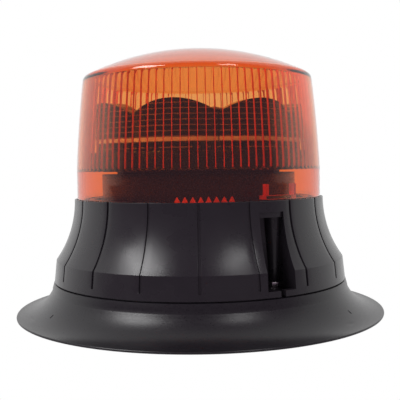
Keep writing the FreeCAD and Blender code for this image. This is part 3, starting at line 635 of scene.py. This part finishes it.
bm = bmesh.new()
column = chain(bm, front + [(optic_bore, rows[-1]), (optic_bore, optic_low)], closed=True)
half = 180 / optic_count
angles = [-half, -half + 0.4, -19.5, -16, -12, -9, -6, -3, 0]
angles += [-angle for angle in angles[-2::-1]]
for near, far in zip(angles, angles[1:]):
    column = turn(bm, column, 1, far - near, merge=False)
bm.transform(Matrix.Rotation(math.radians(-half), 4, "Z"))
for vert in bm.verts:
    radius, bearing, z = place_of(vert)
    off = abs(bearing) / half
    top = optic_peak - optic_drop * off ** 2
    vert.co.z = max(optic_low, min(z, top)) * mm
    if radius > optic_bore + 1:
        seam = 1.0 if off > 0.999 else 0.0
        face = peak_radius if z > top else radius
        slimmer = (face - valley_drop * off ** 2 - seam) / radius
        vert.co.x *= slimmer
        vert.co.y *= slimmer
bm.transform(Matrix.Rotation(math.radians(optic_bearing), 4, "Z"))
turn(bm, bm.verts[:] + bm.edges[:] + bm.faces[:], optic_count, copies=True, merge=False)
bmesh.ops.remove_doubles(bm, verts=bm.verts, dist=same_point)
for k in range(round(360 / foot_pitch)):
    bearing = optic_bearing + foot_pitch * (k + 0.5)
    off = abs((bearing - optic_bearing + half) % (2 * half) - half)
    if off > open_middle:
        wedge(bm, 49.0, 54.0, engine_z, optic_low + 0.1, bearing, 2.3, 1)
for k in range(optic_count):
    wedge(bm, 49.0, 56.5, engine_z, 90.4, optic_bearing + 2 * half * k + 1.0, 16.5, 4)
for k in range(3):
    wedge(bm, 31.0, 48.0, 105.5, 107.0, 15.0 + 120 * k, 11.0, 3)

# smoked acrylic: dark and glossy, with painted highlights as pale lines where the prisms meet, and below the prisms
# a pale band of painted light for the light that shows through under the optics
smoked_acrylic, tree, shader = new_material("smoked acrylic", Roughness=0.12, IOR=1.49, Transmission_Weight=0.25)
place = add_node(tree, "ShaderNodeTexCoord").outputs["Object"]
height = add_node(tree, "ShaderNodeSeparateXYZ", {0: place})
row = add_node(tree, "ShaderNodeMath", {0: height.outputs["Z"], 1: optic_low * mm}, operation="SUBTRACT")
phase = add_node(tree, "ShaderNodeMath", {0: row.outputs[0], 1: prism / 2 * mm}, operation="PINGPONG")
# painted highlight: a thin pale line at the edge of each row of prisms
painted_prism_highlight = add_node(tree, "ShaderNodeMapRange", {"Value": phase.outputs[0], "From Min": 0.0, "From Max": 0.0004,
                                             "To Min": 1.0, "To Max": 0.0})
tint = add_node(tree, "ShaderNodeMix", {0: painted_prism_highlight.outputs[0], 6: linear("0D090D"), 7: linear("A88C88")},
                data_type="RGBA")
flange_middle = (optic_low + flange_top) / 2
# painted light: the band below the prisms is coloured pale, for the light that shows through the gap there
painted_band_mask = add_node(tree, "ShaderNodeMath", {0: height.outputs["Z"], 1: flange_middle * mm,
                                           2: (flange_top - flange_middle) * mm}, operation="COMPARE")
painted_band_tint = add_node(tree, "ShaderNodeMix", {0: painted_band_mask.outputs[0], 6: tint.outputs[2], 7: linear("E0D4D0")},
                 data_type="RGBA")
tree.links.new(painted_band_tint.outputs[2], shader.inputs["Base Color"])
make_piece("optic_ring", bm, smoked_acrylic, "base", sharp=30)


# Lens: amber polycarbonate, moulded in one piece and polished outside. A hundred flutes are sunk in its inner wall
# above a plain band. Inside the band are three bayonet lugs, a short ratchet and the lug for the lock screw. It
# stands on a rubber ring in the housing's channel.

lens_radius = 66.75
lens_bore = 63.4
lens_foot = 58.1
band_top = 78.0
shoulder_radius = 62.75
shoulder_round = 3.5
bulge = 0.4
dome_radius = 136.0
lens_top = 142.35
lens_wall = 3.0
inner_round = 6.0
inner_radius = 54.15
flute_count = 100
flute_depth = 1.15
flute_foot = 76.9
foot_round = 1.3
flat_share = 0.35
rib_share = 0.08
wall_share = 0.012
amber_dye = (0.94, 0.56, 0.0, 1)
dye_density = 640.0


def dye_inside(tree, shader):
    """Dyes what lies inside a clear shader's faces, and lets the lamps' light through it."""
    clear = add_node(tree, "ShaderNodeBsdfTransparent")
    let = add_node(tree, "ShaderNodeMixShader",
                   {0: sent_by(tree, "Is Shadow Ray"), 1: shader.outputs[0], 2: clear.outputs[0]})
    dye = add_node(tree, "ShaderNodeVolumeAbsorption", {"Color": amber_dye, "Density": dye_density})
    tree.links.new(let.outputs[0], tree.nodes["Material Output"].inputs["Surface"])
    tree.links.new(dye.outputs[0], tree.nodes["Material Output"].inputs["Volume"])


# polished amber polycarbonate: clear, deep orange where the view runs along its wall, pale at a glance
amber, tree, shader = new_material("amber polycarbonate", Roughness=0.02, IOR=1.58, Transmission_Weight=1.0)
shader.inputs["Base Color"].default_value = white
dye_inside(tree, shader)

# the flanks of the ribs keep the tool's matt grain; their pale red colour is a painted glow, standing in for light
# that runs down the wall and bends out at the ribs
amber_flank_painted_glow, tree, shader = new_material("matt amber polycarbonate flanks with painted glow", Roughness=0.45, IOR=1.58,
                                        Transmission_Weight=0.35)
place = add_node(tree, "ShaderNodeTexCoord").outputs["Object"]
grain = add_node(tree, "ShaderNodeTexNoise", {"Vector": place, "Scale": 1000 / 1.5, "Detail": 2.0})
# painted glow: pale red base colours, varied a little by the grain
tint = add_node(tree, "ShaderNodeMix", {0: grain.outputs[0], 6: linear("F4968C"), 7: linear("FCA698")},
                data_type="RGBA")
tree.links.new(tint.outputs[2], shader.inputs["Base Color"])
dye_inside(tree, shader)

dome_centre = lens_top - dome_radius
round_z = dome_centre + math.sqrt((dome_radius - shoulder_round) ** 2 - (shoulder_radius - shoulder_round) ** 2)
dome_edge = math.degrees(math.asin((shoulder_radius - shoulder_round) / (dome_radius - shoulder_round)))
inner_dome = dome_radius - lens_wall
inner_edge = math.degrees(math.asin(inner_radius / (inner_dome - inner_round)))
inner_z = dome_centre + math.sqrt((inner_dome - inner_round) ** 2 - inner_radius ** 2)
flute_head = inner_z + inner_round * math.cos(math.radians(52))


def dome(radius, angle):
    """Point of the dome, inside or outside, at an angle from the axis."""
    return radius * math.sin(math.radians(angle)), dome_centre + radius * math.cos(math.radians(angle))


def rounded_corner(centre_radius, centre_z, radius, angle):
    """Point of a round between wall and dome."""
    return (centre_radius + radius * math.sin(math.radians(angle)),
            centre_z + radius * math.cos(math.radians(angle)))


def barrel(z, low_radius, high_radius):
    """Draft from the band to the shoulder, with a slight barrel bulge."""
    part = (z - band_top) / (round_z - band_top)
    return low_radius + (high_radius - low_radius) * part + bulge * 4 * part * (1 - part)


outside = [dome(dome_radius, angle) for angle in steps(0, dome_edge, 16)]
outside += [rounded_corner(shoulder_radius - shoulder_round, round_z, shoulder_round, angle)
            for angle in steps(dome_edge, 85, 8)[1:]]
outside += [(barrel(z, lens_radius, shoulder_radius), z) for z in steps(round_z - 0.2, band_top, 12)]
outside += [(lens_radius, 77.9), (lens_radius, lens_foot)]
inner_top = shoulder_radius - lens_wall
inside = [(lens_bore, lens_foot), (lens_bore, 76.5)]
inside += [(lens_bore, z) for z in (76.9, 77.05, 77.2, 77.45, 77.8)]
inside += [(barrel(z, lens_bore, inner_top), z) for z in steps(78.3, inner_z, 9)]
inside += [rounded_corner(inner_radius, inner_z, inner_round, angle)
           for angle in steps(84, 52.5, 5) + [52] + steps(46, inner_edge, 5)]
inside += [dome(inner_dome, angle) for angle in steps(inner_edge, 0, 12)[1:]]


def flute(share, z, radius):
    """Radius in a flute at a share of its pitch. Its foot is rounded, and thin ribs stand between flutes."""
    off_middle = abs(2 * share - 1)
    if off_middle > 1 - rib_share or z > flute_head - 0.01:
        return radius
    corner = max(0.0, off_middle - flat_share) / (1 - flat_share - rib_share)
    foot = flute_foot + foot_round * (1 - math.sqrt(max(0.0, 1 - corner ** 2)))
    rise = min(1.0, max(0.0, (z - foot) / 0.3))
    return max(radius, barrel(z, lens_bore, inner_top) + flute_depth * rise) if rise else radius


bm = bmesh.new()
pitch = 360 / flute_count
edge = rib_share / 2
shares = [0, edge, edge + wall_share, 0.2, 0.35, 0.65, 0.8, 1 - edge - wall_share, 1 - edge, 1]
column = chain(bm, outside + inside)
for near, far in zip(shares, shares[1:]):
    column = turn(bm, column, 1, (far - near) * pitch, merge=False)
for vert in bm.verts:
    radius, bearing, z = place_of(vert)
    if flute_foot < z < flute_head + 0.1 and 30 < radius < barrel(z, lens_radius, shoulder_radius) - 1.5:
        deeper = flute(bearing / pitch, z, radius) / radius
        vert.co.x *= deeper
        vert.co.y *= deeper


def across(face):
    """Whether a face stands across the wall."""
    middle = face.calc_center_median()
    return abs(face.normal.dot(Vector((middle.x, middle.y, 0)).normalized())) < 0.45


bm.normal_update()
# The flanks of the flutes take the second material, with its painted glow.
for face in bm.faces:
    if flute_foot < face.calc_center_median().z / mm < flute_head and across(face) and abs(face.normal.z) < 0.5:
        face.material_index = 1
turn(bm, bm.verts[:] + bm.edges[:] + bm.faces[:], flute_count, copies=True, merge=False)
bmesh.ops.remove_doubles(bm, verts=bm.verts, dist=same_point)

root = lens_bore + 0.02
lug_bearing = lock_bearing + 1.3
lugs = bmesh.new()
for bearing in lug_bearings:
    wedge(lugs, 61.0, root, 58.3, 60.0, bearing, 20.0, 8)
wedge(lugs, 57.8, root, 62.4, 64.2, lug_bearing, 17.6, 6)
lugs.normal_update()
# Lug faces that stand across the wall take the painted glow too.
for face in lugs.faces:
    face.material_index = 1 if across(face) else 0
add_part(bm, lugs)

teeth = bmesh.new()
for side in (-1, 1):
    wedge(teeth, 60.7, root, 64.25, 69.8, lug_bearing + side * 8.1, 1.4, 1)
for middle in [3.3 * k - 9.0 for k in range(8)]:
    tooth = bmesh.new()
    wedge(tooth, 62.7, root, 61.2, 64.4, middle, 3.2, 1)
    for vert in tooth.verts:
        radius, bearing, z = place_of(vert)
        if z > 63:
            vert.co.rotate(Matrix.Rotation(math.radians(0.9 * (middle - bearing)), 3, "Z"))
    add_part(teeth, tooth)
# The ratchet teeth and the lock lug's side ribs take the painted glow all over.
for face in teeth.faces:
    face.material_index = 1
add_part(bm, teeth)

lens = make_piece("lens", bm, amber, "lens_body", sharp=30)
lens.data.materials.append(amber_flank_painted_glow)
softened("lens_gasket", seal_rubber, 0.15)


# Lens lock screw: a long stainless screw that goes up through the column into the lens's lock lug and stops the
# lens from turning. Its hexagon head hangs under the column's foot.

softened("lens_lock_screw", stainless, 0.25)
